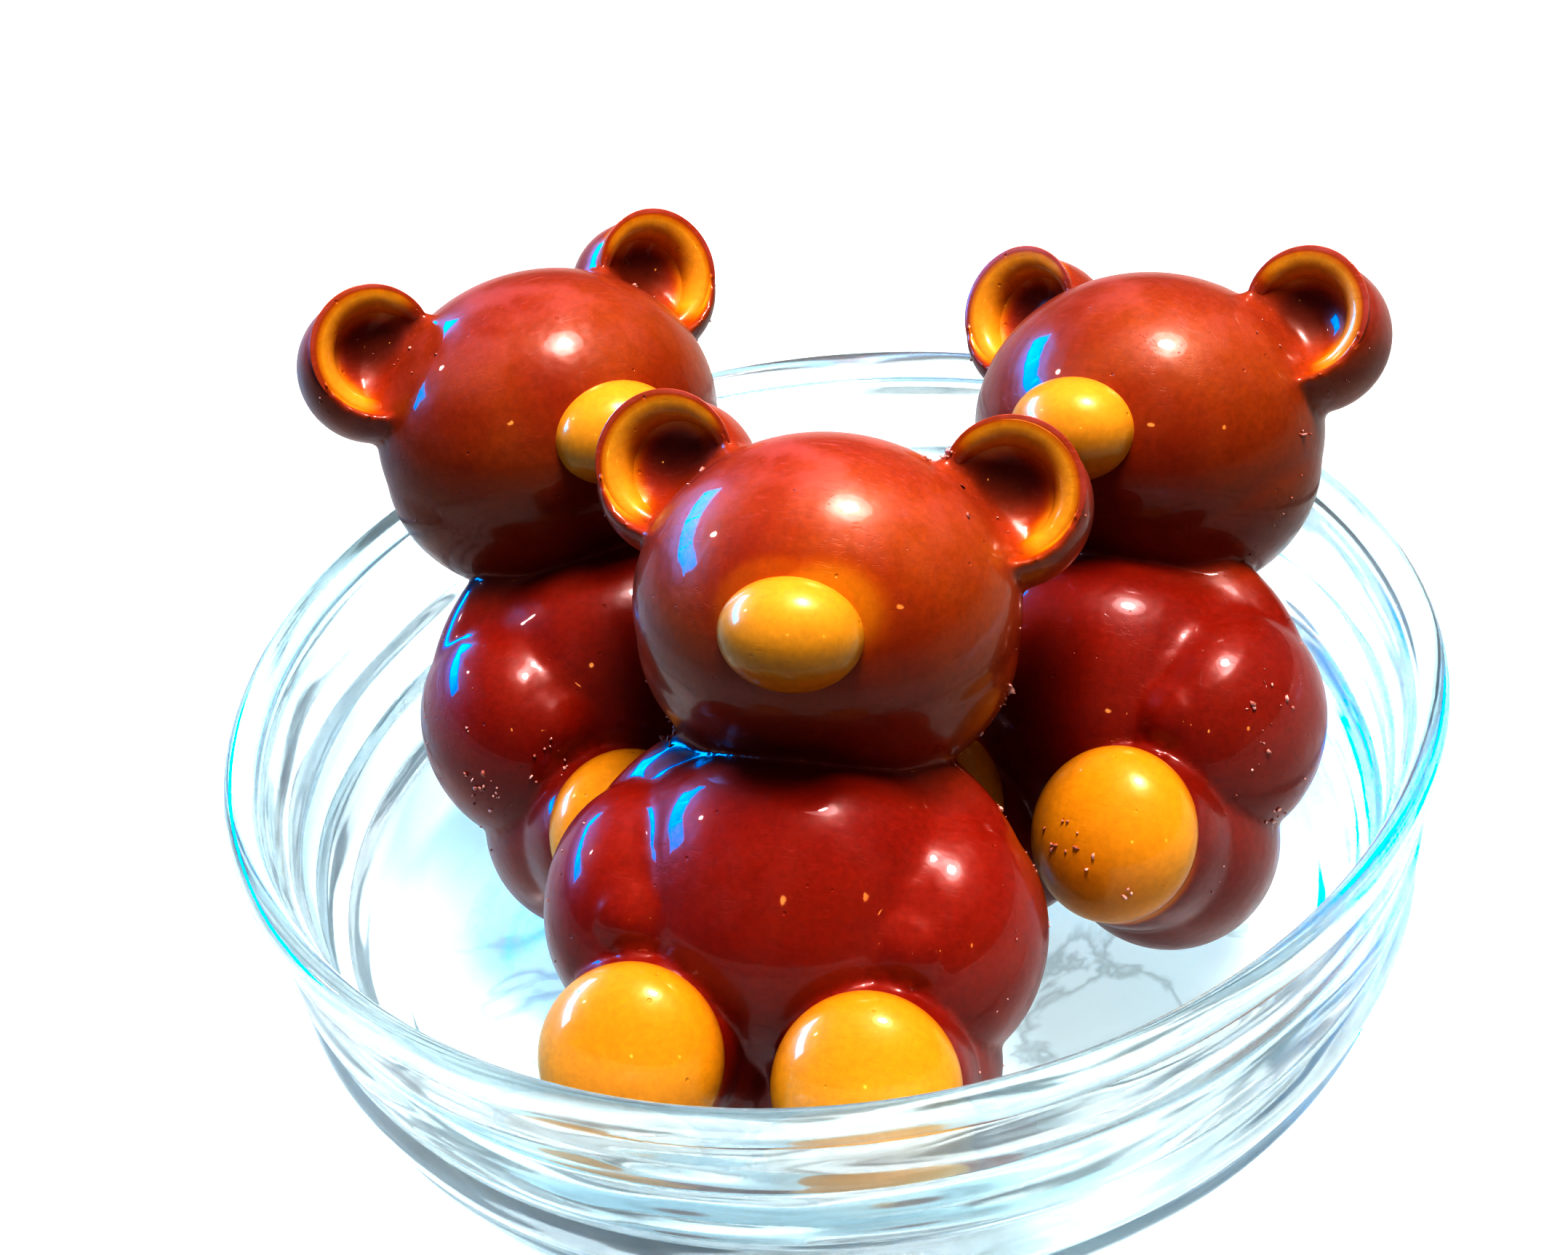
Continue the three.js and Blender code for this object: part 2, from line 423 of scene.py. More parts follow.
def pad_mould(side):
    """The cap of a foot, cut off flat where it goes into the leg."""
    bm = bmesh.new()
    lump(bm, side=side, **PAD)
    cut = bmesh.ops.bisect_plane(
        bm,
        geom=bm.verts[:] + bm.edges[:] + bm.faces[:],
        plane_co=(0, PAD_EDGE, 0),
        plane_no=(0, 1, 0),
        clear_outer=True,
    )
    rim = [g for g in cut["geom_cut"] if isinstance(g, bmesh.types.BMEdge)]
    bmesh.ops.holes_fill(bm, edges=rim)
    bmesh.ops.recalc_face_normals(bm, faces=bm.faces)
    return mesh_of(bm, "pad_mould")


def lip_mould(side):
    """The raised lip: a flattened arc on the wall of an ear's dish, widest away from the head."""
    middle = ear_outward(side)
    sweep = math.radians(LIP["sweep"])
    start = middle - sweep / 2
    bm = bmesh.new()
    ring = bmesh.ops.create_circle(bm, cap_ends=True, segments=LIP["round_points"], radius=1)
    place = Matrix.Rotation(-start, 4, "Y") @ Matrix.Translation((LIP["radius"], 0, 0))
    bmesh.ops.transform(bm, matrix=place, verts=ring["verts"])
    bmesh.ops.spin(
        bm,
        geom=bm.verts[:] + bm.edges[:] + bm.faces[:],
        cent=(0, 0, 0),
        axis=(0, -1, 0),
        dvec=(0, 0, 0),
        angle=sweep,
        steps=LIP["steps"],
    )
    slope = math.radians(LIP["slope"])
    for v in bm.verts:
        angle = math.atan2(v.co.z, v.co.x)
        away = math.remainder(angle - middle, math.tau) / (sweep / 2)
        swell = math.cos(min(abs(away), 1) * math.pi / 2) ** LIP["swell"]
        size = LIP["ends"] + (1 - LIP["ends"]) * swell
        along = (math.hypot(v.co.x, v.co.z) - LIP["radius"]) * LIP["wide"] * size
        proud = v.co.y * abs(v.co.y) * LIP["high"] * size  # thins out to nothing at its edges
        reach = LIP["radius"] + along * math.cos(slope) + proud * math.sin(slope)
        depth = LIP["sink"] - along * math.sin(slope) + proud * math.cos(slope)
        depth += LIP["ends_sink"] * (1 - swell)
        v.co = (reach * math.cos(angle), depth, reach * math.sin(angle))
    bmesh.ops.remove_doubles(bm, verts=bm.verts, dist=MERGE)
    bmesh.ops.recalc_face_normals(bm, faces=bm.faces)
    bmesh.ops.transform(bm, matrix=ear_frame(side), verts=bm.verts)
    return mesh_of(bm, "lip_mould")


# ---- Marks that follow a bear's own shape, kept on its points: caramel and painted shade -------
# A pair of numbers says where a mark starts to come or go and where it has done so.

DISH_PAINT = dict(arc=(70, 128), inside=(1.9, 4.3), outside=(5.25, 5.6), depth=(1.9, 3.0))
# painted shade in the upper middle of each ear's dish and around the neck
DISH_SHADE = dict(
    centre=(-0.2, 1.2), reach=(1.4, 4.4), depth=(0.7, 2.4), back=(3.6, 4.2), strength=0.62
)
NECK_SHADE = dict(height=-13.8, spread=1.5, reach=(10.5, 12.5), strength=0.25)
SMEAR = dict(  # two patches: centre across and up, half sizes, fading and strength
    patches=(
        ((2.9, -0.6), (5.2, 4.4), (0.5, 1.2), 1.0),
        ((-0.6, -1.4), (5.6, 4.6), (0.8, 1.15), 0.6),
    ),
    front=-8,
    strength=0.62,
)
FOOT_FADE = dict(lower=(-0.2, 0.8), reach=(7.6, 8.4), behind=(-0.4, 0.9), strength=0.85)
LIP_PAINT = dict(ends=(88, 122), outer=(5.05, 5.6), inner=(3.1, 3.8), least=0.75)
PAD_PAINT = dict(
    most=0.88, rim=(-1.8, 0.0), rim_loss=0.5, rim_above=0.35, lower=(-1.0, 7.0), lower_loss=0.3
)
SNOUT_PAINT = dict(lower=(1.5, 4.0), lower_loss=0.25)


def values_of(mesh, name):
    """A vector for each of the mesh's points, "co" or "normal", in rows."""
    flat = np.empty(len(mesh.vertices) * 3, dtype=np.float32)
    mesh.vertices.foreach_get(name, flat)
    return flat.reshape(-1, 3)


def smooth_step(values, low, high):
    t = np.clip((values - low) / (high - low), 0, 1)
    return t * t * (3 - 2 * t)


def keep_own_place(mesh):
    """Each point's place on its own bear, in millimetres, for marks that a mould repeats."""
    own = mesh.attributes.new("own", "FLOAT_VECTOR", "POINT")
    own.data.foreach_set("vector", values_of(mesh, "co").ravel())


def keep_values(mesh, name, values):
    layer = mesh.attributes.new(name, "FLOAT", "POINT")
    layer.data.foreach_set("value", np.asarray(values, dtype=np.float32))


def seen_from_ear(points, side):
    """Across, depth and up in an ear's own frame, and the angle away from its outward side."""
    inverse = ear_frame(side).inverted()
    local = points @ np.array(inverse.to_3x3()).T + np.array(inverse.translation)
    x, y, z = local.T
    angle = np.arctan2(z, x) - ear_outward(side)
    return x, y, z, np.abs((angle + math.pi) % math.tau - math.pi)


def dish_paint(points):
    """How much caramel colour runs from an ear's lip down into its dish."""
    paint = np.zeros(len(points))
    for side in SIDES.values():
        x, y, z, away = seen_from_ear(points, side)
        reach = np.hypot(x, z)
        arc = 1 - smooth_step(away, *np.radians(DISH_PAINT["arc"]))
        band = smooth_step(reach, *DISH_PAINT["inside"])
        band *= 1 - smooth_step(reach, *DISH_PAINT["outside"])
        front = 1 - smooth_step(y, *DISH_PAINT["depth"])
        paint = np.maximum(paint, band * arc * front)
    return paint


def snout_smear(points):
    """A smear of caramel colour beside the front bear's snout, up and to the right."""
    x, y, z = points.T
    smear = np.zeros(len(points))
    for (across, up), (half_width, half_height), fading, strength in SMEAR["patches"]:
        reach = np.hypot((x - across) / half_width, (z - up) / half_height)
        smear = np.maximum(smear, strength * (1 - smooth_step(reach, *fading)))
    return smear * (y < SMEAR["front"]) * SMEAR["strength"]


def painted_shade(points):
    """Painted shade: darker chocolate in the upper middle of each ear's dish and around the neck,
    where shade falls.
    """
    shade = np.zeros(len(points))
    across, up = DISH_SHADE["centre"]
    for side in SIDES.values():
        x, y, z, _ = seen_from_ear(points, side)
        reach = np.hypot(x - across * side, z - up)
        inside = smooth_step(y, *DISH_SHADE["depth"]) * (1 - smooth_step(y, *DISH_SHADE["back"]))
        shade = np.maximum(shade, (1 - smooth_step(reach, *DISH_SHADE["reach"])) * inside)
    x, y, z = points.T
    neck = np.exp(-(((z - NECK_SHADE["height"]) / NECK_SHADE["spread"]) ** 2))
    neck *= 1 - smooth_step(np.hypot(x, y), *NECK_SHADE["reach"])
    return np.maximum(DISH_SHADE["strength"] * shade, NECK_SHADE["strength"] * neck)


def foot_fade(points):
    """Caramel colour that fades into the brown just behind a pad, on its lower outer side."""
    x, y, z = points.T
    below = FOOT["centre"][2] - z
    reach = np.hypot(np.abs(x) - FOOT["centre"][0], below)
    lower = smooth_step(below / np.maximum(reach, MERGE), *FOOT_FADE["lower"])
    foot = (1 - smooth_step(reach, *FOOT_FADE["reach"])) * lower
    return (1 - smooth_step(y - PAD_EDGE, *FOOT_FADE["behind"])) * foot * FOOT_FADE["strength"]


def lip_paint(mesh, side):
    """Full caramel on the crest of a lip, browner at its ends."""
    x, _, z, away = seen_from_ear(values_of(mesh, "co"), side)
    reach = np.hypot(x, z)
    ends = 1 - smooth_step(away, *np.radians(LIP_PAINT["ends"]))
    outer = 1 - smooth_step(reach, *LIP_PAINT["outer"])
    inner = smooth_step(reach, *LIP_PAINT["inner"])
    least = LIP_PAINT["least"]
    return ends * outer * (least + (1 - least) * inner)


def pad_paint(mesh):
    """Caramel that turns browner towards a pad's lower edge."""
    _, y, z = values_of(mesh, "co").T
    rim = smooth_step(y - PAD_EDGE, *PAD_PAINT["rim"])
    lower = smooth_step(PAD["centre"][2] - z, *PAD_PAINT["lower"])
    above = PAD_PAINT["rim_above"]
    loss = PAD_PAINT["rim_loss"] * rim * (above + (1 - above) * lower)
    return PAD_PAINT["most"] - loss - PAD_PAINT["lower_loss"] * lower


def snout_paint(mesh):
    """Full caramel, a little browner underneath."""
    _, _, z = values_of(mesh, "co").T
    lower = smooth_step(SNOUT["centre"][2] - z, *SNOUT_PAINT["lower"])
    return 1 - SNOUT_PAINT["lower_loss"] * lower


def place_of(bear):
    turn = Euler([math.radians(a) for a in (-bear["lean"], bear["tip"], bear["turn"])], "XYZ")
    to_metres = Matrix.Scale(MM, 4)
    return to_metres @ Matrix.Translation(bear["head"]) @ turn.to_matrix().to_4x4()


def put(mould, name, bear, material, slot, *nodes):
    """A copy of a mould, seated as its bear sits, in place of the nodes it stands for."""
    mesh = mould.copy()
    mesh.name = name
    mesh.transform(place_of(bear))
    mesh.shade_smooth()
    mesh.materials.append(material)
    piece = new_piece(name, mesh)
    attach(piece, "root")
    if nodes:
        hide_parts(*nodes)


# ---- Crumbs ------------------------------------------------------------------------------------


def crumbs(name, bear, material, skin_points, skin_normals):
    """Shavings that cling along the mould seam, at the feet of the ears and where bears touch."""
    dice = random.Random(bear["seed"])
    x, y, z = skin_points.T
    along_seam = np.abs(y - SEAM["plane"]) < SEAM["within"]
    along_seam &= (z > SEAM["low"]) & (z < SEAM["high"])
    on_arms = np.abs(y - ARM_BITS["plane"]) < ARM_BITS["within"]
    on_arms &= np.abs(x) > ARM_BITS["outside"]
    picks = []
    for kind, where in ((SEAM, along_seam), (ARM_BITS, on_arms)):
        spots = np.flatnonzero(where)
        picks += [(dice.choice(spots), kind["size"]) for _ in range(kind["count"])]
    ears = [
        (ear_frame(side) @ mirrored(EAR_BITS["place"], side), EAR_BITS["spread"], EAR_BITS["count"])
        for side in SIDES.values()
    ]
    for place, spread, count in (*bear["clusters"], *ears):
        far = np.linalg.norm(skin_points - np.array(place), axis=1)
        spots = np.flatnonzero(far < far.min() + spread)
        picks += [(dice.choice(spots), dice.uniform(*CRUMB["sizes"])) for _ in range(count)]
    bm = bmesh.new()
    for index, size in picks:
        spot, normal = Vector(skin_points[index]), Vector(skin_normals[index])
        bit = bmesh.ops.create_icosphere(bm, subdivisions=1, radius=1)
        for corner in bit["verts"]:
            corner.co *= dice.uniform(*CRUMB["ragged"])
        half = [size * dice.uniform(*CRUMB["stretch"]) for _ in range(3)]
        tilt = Euler([dice.uniform(0, math.tau) for _ in range(3)]).to_matrix().to_4x4()
        seat = Matrix.Translation(spot + normal * size * CRUMB["proud"])
        place = seat @ tilt @ Matrix.Diagonal((*half, 1))
        bmesh.ops.transform(bm, matrix=place, verts=bit["verts"])
    mesh = mesh_of(bm, name)
    keep_own_place(mesh)
    put(mesh, name, bear, material, "chocolate")


# ---- The bowl ----------------------------------------------------------------------------------


def quarter_turns(steps, quarters=1):
    """Cosine and sine at even steps through one or more quarter turns."""
    turns = [math.pi / 2 * quarters * k / steps for k in range(steps + 1)]
    return [(math.cos(turn), math.sin(turn)) for turn in turns]


def bowl_profile():
    """Radius and height along the glass, from the middle of the base out, over the rim and in."""
    foot, corner_radius, corner_height = (
        BOWL[key] for key in ("foot", "corner_radius", "corner_height")
    )
    wall_top = BOWL["height"] - BOWL["rim_band"]
    points = [(0.0, 0.0)]
    steps = BOWL["ribs"] * BOWL["rib_points"]
    for i in range(steps + 1):  # the ribbed wall
        height = wall_top * i / steps
        bend = max(0.0, 1 - height / corner_height)
        rise = max(0.0, height - corner_height) / (wall_top - corner_height)
        radius = foot + (corner_radius - foot) * math.sqrt(1 - bend**2)
        radius += (BOWL["shoulder"] - corner_radius) * rise
        swell = abs(math.sin(math.pi * BOWL["ribs"] * i / steps)) ** BOWL["rib_fullness"]
        start = min(1.0, height / BOWL["rib_start"])
        points.append((radius + BOWL["rib_depth"] * swell * start, height))
    band_foot = wall_top + BOWL["band_foot"]
    for cosine, sine in quarter_turns(BOWL["band_points"]):  # the rim band's soft lower edge
        radius = BOWL["rim_radius"] - BOWL["band_step"] * (1 - sine)
        points.append((radius, band_foot + BOWL["band_round"] * (1 - cosine)))
    half = BOWL["rim_wall"] / 2
    for cosine, sine in quarter_turns(BOWL["rim_points"], quarters=2):  # the round rim
        points.append(
            (BOWL["rim_radius"] - half + half * cosine, BOWL["height"] - half + half * sine)
        )
    rim_in, rim_height = points[-1]
    corner, flat = BOWL["inside_corner"], BOWL["inside_flat"]
    corner_centre = BOWL["floor"] + corner
    for k in range(1, BOWL["wall_points"]):  # the wall, down to where it starts to bend
        share = k / BOWL["wall_points"]
        radius = rim_in + (flat + corner - rim_in) * share
        points.append((radius, rim_height + (corner_centre - rim_height) * share))
    for cosine, sine in quarter_turns(BOWL["corner_points"]):  # the bend into the floor
        points.append((flat + corner * cosine, corner_centre - corner * sine))
    points += [(flat * share, BOWL["floor"]) for share in (0.66, 0.33, 0.0)]
    return points


def glass_bowl(material):
    bm = bmesh.new()
    verts = [bm.verts.new((radius, 0, height)) for radius, height in bowl_profile()]
    edges = [bm.edges.new(pair) for pair in zip(verts, verts[1:])]
    bmesh.ops.spin(
        bm,
        geom=verts + edges,
        cent=(0, 0, 0),
        axis=(0, 0, 1),
        dvec=(0, 0, 0),
        angle=math.tau,
        steps=BOWL["steps"],
        use_merge=True,
    )
    bmesh.ops.remove_doubles(bm, verts=bm.verts, dist=MERGE)
    bmesh.ops.recalc_face_normals(bm, faces=bm.faces)
    bmesh.ops.transform(bm, matrix=Matrix.Scale(MM, 4), verts=bm.verts)
    mesh = mesh_of(bm, "glass_bowl")
    mesh.shade_smooth()
    mesh.materials.append(material)
    piece = new_piece("glass_bowl", mesh)
    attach(piece, "root")
    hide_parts("bowl")


# ---- Shader helpers ----------------------------------------------------------------------------


def add(tree, kind, inputs=(), **settings):
    """A node with its settings and inputs. An input given another node's output is linked."""
    node = tree.nodes.new(kind)
    for key, value in settings.items():
        setattr(node, key, value)
    for key, value in dict(inputs).items():
        if isinstance(value, bpy.types.NodeSocket):
            tree.links.new(value, node.inputs[key])
        else:
            node.inputs[key].default_value = value
    return node


def group_tree(name, takes, gives):
    """A node group's tree, the sockets that come in and the ones to fill."""
    tree = bpy.data.node_groups.new(name, "ShaderNodeTree")
    for socket, value in takes.items():
        kind = "NodeSocketVector" if value is None else "NodeSocketFloat"
        made = tree.interface.new_socket(socket, in_out="INPUT", socket_type=kind)
        if value is not None:
            made.default_value = value
    for socket, kind in gives.items():
        tree.interface.new_socket(socket, in_out="OUTPUT", socket_type=kind)
    given, wanted = tree.nodes.new("NodeGroupInput"), tree.nodes.new("NodeGroupOutput")
    return tree, given.outputs, wanted.inputs


def material_tree(name):
    material = bpy.data.materials.new(name)
    material.use_nodes = True
    tree = material.node_tree
    tree.nodes.clear()
    surface = tree.nodes.new("ShaderNodeOutputMaterial").inputs["Surface"]
    return material, tree, surface


def mix_colour(tree, factor, first, second, blend="MIX"):
    """Two colours mixed. A Mix node's colour sockets go by number, as their names repeat."""
    inputs = {0: factor, 6: first, 7: second}
    return add(tree, "ShaderNodeMix", inputs, data_type="RGBA", blend_type=blend).outputs[2]


def maths(tree, operation, *values, clamp=False):
    inputs = enumerate(values)
    node = add(tree, "ShaderNodeMath", inputs, operation=operation, use_clamp=clamp)
    return node.outputs["Value"]


def times(tree, *values):
    """The product of its values."""
    product = values[0]
    for value in values[1:]:
        product = maths(tree, "MULTIPLY", product, value)
    return product


def ramp(tree, value, *stops):
    """A value turned to colours. Each stop is a place and a colour or a shade of grey."""
    node = add(tree, "ShaderNodeValToRGB", {"Fac": value})
    stops = [
        (place, (*(colour if isinstance(colour, tuple) else (colour,) * 3), 1))
        for place, colour in stops
    ]
    points = node.color_ramp.elements
    points[0].position, points[0].color = stops[0]
    points[1].position, points[1].color = stops[-1]
    for place, colour in stops[1:-1]:
        points.new(place).color = colour
    return node.outputs["Color"]


def cloudy(tree, where, scale, detail, roughness=0.5, distortion=0.0):
    """Soft random clouds of light and dark."""
    inputs = {
        "Vector": where,
        "Scale": scale,
        "Detail": detail,
        "Roughness": roughness,
        "Distortion": distortion,
    }
    return add(tree, "ShaderNodeTexNoise", inputs).outputs["Fac"]


def between(tree, value, low, high, first=0.0, last=1.0):
    """How far a value is from low to high, as a number from first to last."""
    inputs = {"Value": value, "From Min": low, "From Max": high, "To Min": first, "To Max": last}
    return add(tree, "ShaderNodeMapRange", inputs, clamp=True).outputs["Result"]


def bump(tree, height, strength, distance):
    inputs = {"Strength": strength, "Distance": distance, "Height": height}
    return add(tree, "ShaderNodeBump", inputs).outputs["Normal"]


def kept(tree, name, output="Fac"):
    """A value that is kept on a mesh's points."""
    return add(tree, "ShaderNodeAttribute", attribute_name=name).outputs[output]


# ---- Finishes ----------------------------------------------------------------------------------


def handling_marks():
    """Scratches, scuffs and pores that a moulded sweet picks up."""
    tree, takes, gives = group_tree(
        "handling marks",
        {"Place": None, "Scuffing": 0.5, "Gloss": 0.2},
        {"Height": "NodeSocketFloat", "Roughness": "NodeSocketFloat", "Bloom": "NodeSocketFloat"},
    )
    place, scuffing = takes["Place"], takes["Scuffing"]
    clouds = cloudy(tree, place, scale=0.16, detail=5.0, roughness=0.6)
    patch = ramp(tree, clouds, (0.47, 0.0), (0.62, 1.0))
    drawn = add(  # short along the strokes, so that they come out long
        tree,
        "ShaderNodeMapping",
        {"Vector": place, "Rotation": (0.5, 0.3, 0.9), "Scale": (0.35, 2.6, 2.6)},
    )
    lines = cloudy(tree, drawn.outputs["Vector"], scale=1.3, detail=3.0, roughness=0.7)
    scratches = ramp(tree, lines, (0.56, 0.0), (0.66, 1.0))
    cells = add(tree, "ShaderNodeTexVoronoi", {"Vector": place, "Scale": 0.42, "Randomness": 1.0})
    pores = ramp(tree, cells.outputs["Distance"], (0.035, 1.0), (0.075, 0.0))
    dents = times(tree, cloudy(tree, place, scale=0.33, detail=2.0), MARKS["dents"])
    cuts = times(tree, scratches, patch, scuffing, MARKS["cuts"])
    height = maths(tree, "SUBTRACT", dents, cuts)
    height = maths(tree, "SUBTRACT", height, times(tree, pores, MARKS["pores"]))
    dull = times(tree, patch, scuffing, MARKS["dullness"])
    rough = maths(tree, "ADD", takes["Gloss"], dull, clamp=True)
    bloom = maths(tree, "MAXIMUM", scratches, patch)
    tree.links.new(height, gives["Height"])
    tree.links.new(rough, gives["Roughness"])
    tree.links.new(times(tree, bloom, MARKS["bloom"]), gives["Bloom"])
    return tree


def sweet_colours():
    """Milk chocolate, and the caramel-coloured chocolate painted into parts of the mould, with
    painted shade and a painted sheen.
    """
    tree, takes, gives = group_tree(
        "sweet colours",
        {"Place": None, "Caramel": 0.0, "Bloom": 0.0, "Painted Shade": 0.0},
        {"Color": "NodeSocketColor"},
    )
    place = takes["Place"]
    height = add(tree, "ShaderNodeSeparateXYZ", {"Vector": place}).outputs["Z"]
    clouds = cloudy(tree, place, scale=0.07, detail=3.0, roughness=0.55)
    # painted shade: the belly darker and redder than the face; both mottled at random
    face = ramp(tree, clouds, *LIT_FACE_BROWNS)
    belly = ramp(tree, clouds, *SHADED_BELLY_BROWNS)
    brown = mix_colour(tree, between(tree, height, *FACE_TO_BELLY), face, belly)
    grain = cloudy(tree, place, scale=1.7, detail=4.0, roughness=0.7)
    specks = ramp(tree, grain, *SPECKS["shades"])
    brown = mix_colour(tree, 1.0, brown, specks, "MULTIPLY")
    # scuff bloom and a painted pink sheen, stronger towards the top of the head
    bloom_and_sheen = maths(tree, "MULTIPLY_ADD", takes["Bloom"], BLOOM_AND_PAINTED_SHEEN["bloom"], BLOOM_AND_PAINTED_SHEEN["least"])
    bloom_and_sheen = times(tree, bloom_and_sheen, between(tree, height, *BLOOM_AND_PAINTED_SHEEN["heights"], *BLOOM_AND_PAINTED_SHEEN["shares"]))
    brown = mix_colour(tree, bloom_and_sheen, brown, BLOOM_AND_PAINTED_SHEEN["colour"])
    # painted shade: darker in the ears' dishes, at the neck and all over the two back bears
    brown = mix_colour(tree, takes["Painted Shade"], brown, PAINTED_SHADE_BROWN)
    # painted shade: the belly and the chin darker than the chest and the face
    height_shade = ramp(tree, between(tree, height, *WHOLE_HEIGHT), *PAINTED_SHADE_BY_HEIGHT)
    brown = mix_colour(tree, 1.0, brown, height_shade, "MULTIPLY")
    toffee = ramp(tree, takes["Caramel"], *TOFFEES)
    toffee = mix_colour(tree, SPECKS["in_toffee"], toffee, specks, "MULTIPLY")
    covered = ramp(tree, takes["Caramel"], (0.02, 0.0), (0.3, 1.0))
    tree.links.new(mix_colour(tree, covered, brown, toffee), gives["Color"])
    return tree


def sweet_material(name, marks, colours, scuffing, gloss, coat_roughness):
    """A glossy sweet: its colour, its marks and the shine of a polished mould."""
    material, tree, surface = material_tree(name)
    own = kept(tree, "own", "Vector")
    handled = add(
        tree,
        "ShaderNodeGroup",
        {"Place": own, "Scuffing": scuffing, "Gloss": gloss},
        node_tree=marks,
    ).outputs
    tint = add(
        tree,
        "ShaderNodeGroup",
        {
            "Place": own,
            "Caramel": kept(tree, "caramel"),
            "Painted Shade": kept(tree, "shade"),
            "Bloom": handled["Bloom"],
        },
        node_tree=colours,
    ).outputs
    shader = add(
        tree,
        "ShaderNodeBsdfPrincipled",
        {
            "Base Color": tint["Color"],
            "Roughness": handled["Roughness"],
            "Normal": bump(tree, handled["Height"], strength=0.5, distance=0.0006),
            "IOR": 1.46,
            "Specular IOR Level": 0.32,
            "Coat Weight": 0.4,
            "Coat Roughness": coat_roughness,
            "Coat IOR": 1.5,
        },
    )
    tree.links.new(shader.outputs["BSDF"], surface)
    return material


def crumb_material():
    """Shavings of chocolate, paler and duller than the moulded skin."""
    material, tree, surface = material_tree("chocolate shavings")
    own = kept(tree, "own", "Vector")
    patches = cloudy(tree, own, scale=1.1, detail=2.0)
    grain = cloudy(tree, own, scale=6.0, detail=2.0)
    shader = add(
        tree,
        "ShaderNodeBsdfPrincipled",
        {
            "Base Color": ramp(tree, patches, *SHAVINGS),
            "Roughness": 0.28,
            "Normal": bump(tree, grain, strength=0.4, distance=0.0002),
            "Specular IOR Level": 0.6,
        },
    )
    tree.links.new(shader.outputs["BSDF"], surface)
    return material


def glass_material():
    """Pressed glass: clear, faintly blue, a little wavy, with a faint painted glow, and letting
    light through to the floor.
    """
    material, tree, surface = material_tree("pressed glass")
    where = add(tree, "ShaderNodeTexCoord").outputs["Object"]
    drawn = add(  # long along the wall, short up it
        tree, "ShaderNodeMapping", {"Vector": where, "Scale": (0.35, 0.35, 2.2)}
    )
    waves = cloudy(tree, drawn.outputs["Vector"], scale=55.0, detail=2.0)
    shader = add(
        tree,
        "ShaderNodeBsdfPrincipled",
        {
            "Base Color": ramp(tree, waves, *GLASS["tints"]),
            "Emission Color": GLASS["glow"],
            "Emission Strength": GLASS["painted_glow_strength"],
            "Roughness": 0.1,
            "IOR": 1.5,
            "Transmission Weight": 1.0,
            "Normal": bump(tree, waves, strength=1.0, distance=0.003),
        },
    )
    ray = add(tree, "ShaderNodeLightPath").outputs
    deep = maths(tree, "GREATER_THAN", ray["Ray Depth"], GLASS["bounces"])
    through = maths(tree, "MAXIMUM", ray["Is Shadow Ray"], deep)
    through = maths(tree, "MAXIMUM", through, GLASS["clearness"])
    clear = add(tree, "ShaderNodeBsdfTransparent", {"Color": GLASS["clear"]})
    pane = add(
        tree,
        "ShaderNodeMixShader",
        {0: through, 1: shader.outputs["BSDF"], 2: clear.outputs["BSDF"]},
    )
    tree.links.new(pane.outputs["Shader"], surface)
    return material


def round_patch(tree, where, centre, half):
    """A mask that is full at a centre and falls to nothing at its half sizes."""
    place = add(
        tree,
        "ShaderNodeMapping",
        {"Vector": where, "Location": centre, "Scale": half},
        vector_type="TEXTURE",
    )
    inputs = {"Vector": place.outputs["Vector"]}
    return add(tree, "ShaderNodeTexGradient", inputs, gradient_type="SPHERICAL").outputs["Fac"]


def floor_material():
    """A pale floor, with faint veins and a soft cast shade where it lies under the bowl."""
    material, tree, surface = material_tree("pale floor")
    where = add(tree, "ShaderNodeTexCoord").outputs["Object"]
    shade = ramp(tree, round_patch(tree, where, *FLOOR["shade"]), *FLOOR["shades"])
    clouds = cloudy(tree, where, scale=55.0, detail=5.0, distortion=1.2)
    veins = ramp(tree, clouds, *FLOOR["veins"])
    under = ramp(tree, round_patch(tree, where, *FLOOR["bowl"]), (0.05, 0.0), (0.3, 1.0))
    stone = mix_colour(tree, under, (1, 1, 1, 1), veins)
    lit = mix_colour(tree, 1.0, shade, stone, "MULTIPLY")
    ray = add(tree, "ShaderNodeLightPath").outputs
    outside = maths(tree, "LESS_THAN", ray["Transmission Depth"], 0.5)  # not through the glass
    in_gloss = times(tree, ray["Is Glossy Ray"], outside)
    less = -FLOOR["glow_less_in_gloss"]
    shader = add(
        tree,
        "ShaderNodeBsdfPrincipled",
        {
            "Base Color": mix_colour(tree, 1.0, lit, FLOOR["body"], "MULTIPLY"),
            "Roughness": 0.6,
            "Specular IOR Level": 0.2,
            "Emission Color": lit,
            "Emission Strength": maths(tree, "MULTIPLY_ADD", in_gloss, less, FLOOR["glow"]),
        },
    )
    tree.links.new(shader.outputs["BSDF"], surface)
    return material


# ---- Camera, floor and light -------------------------------------------------------------------


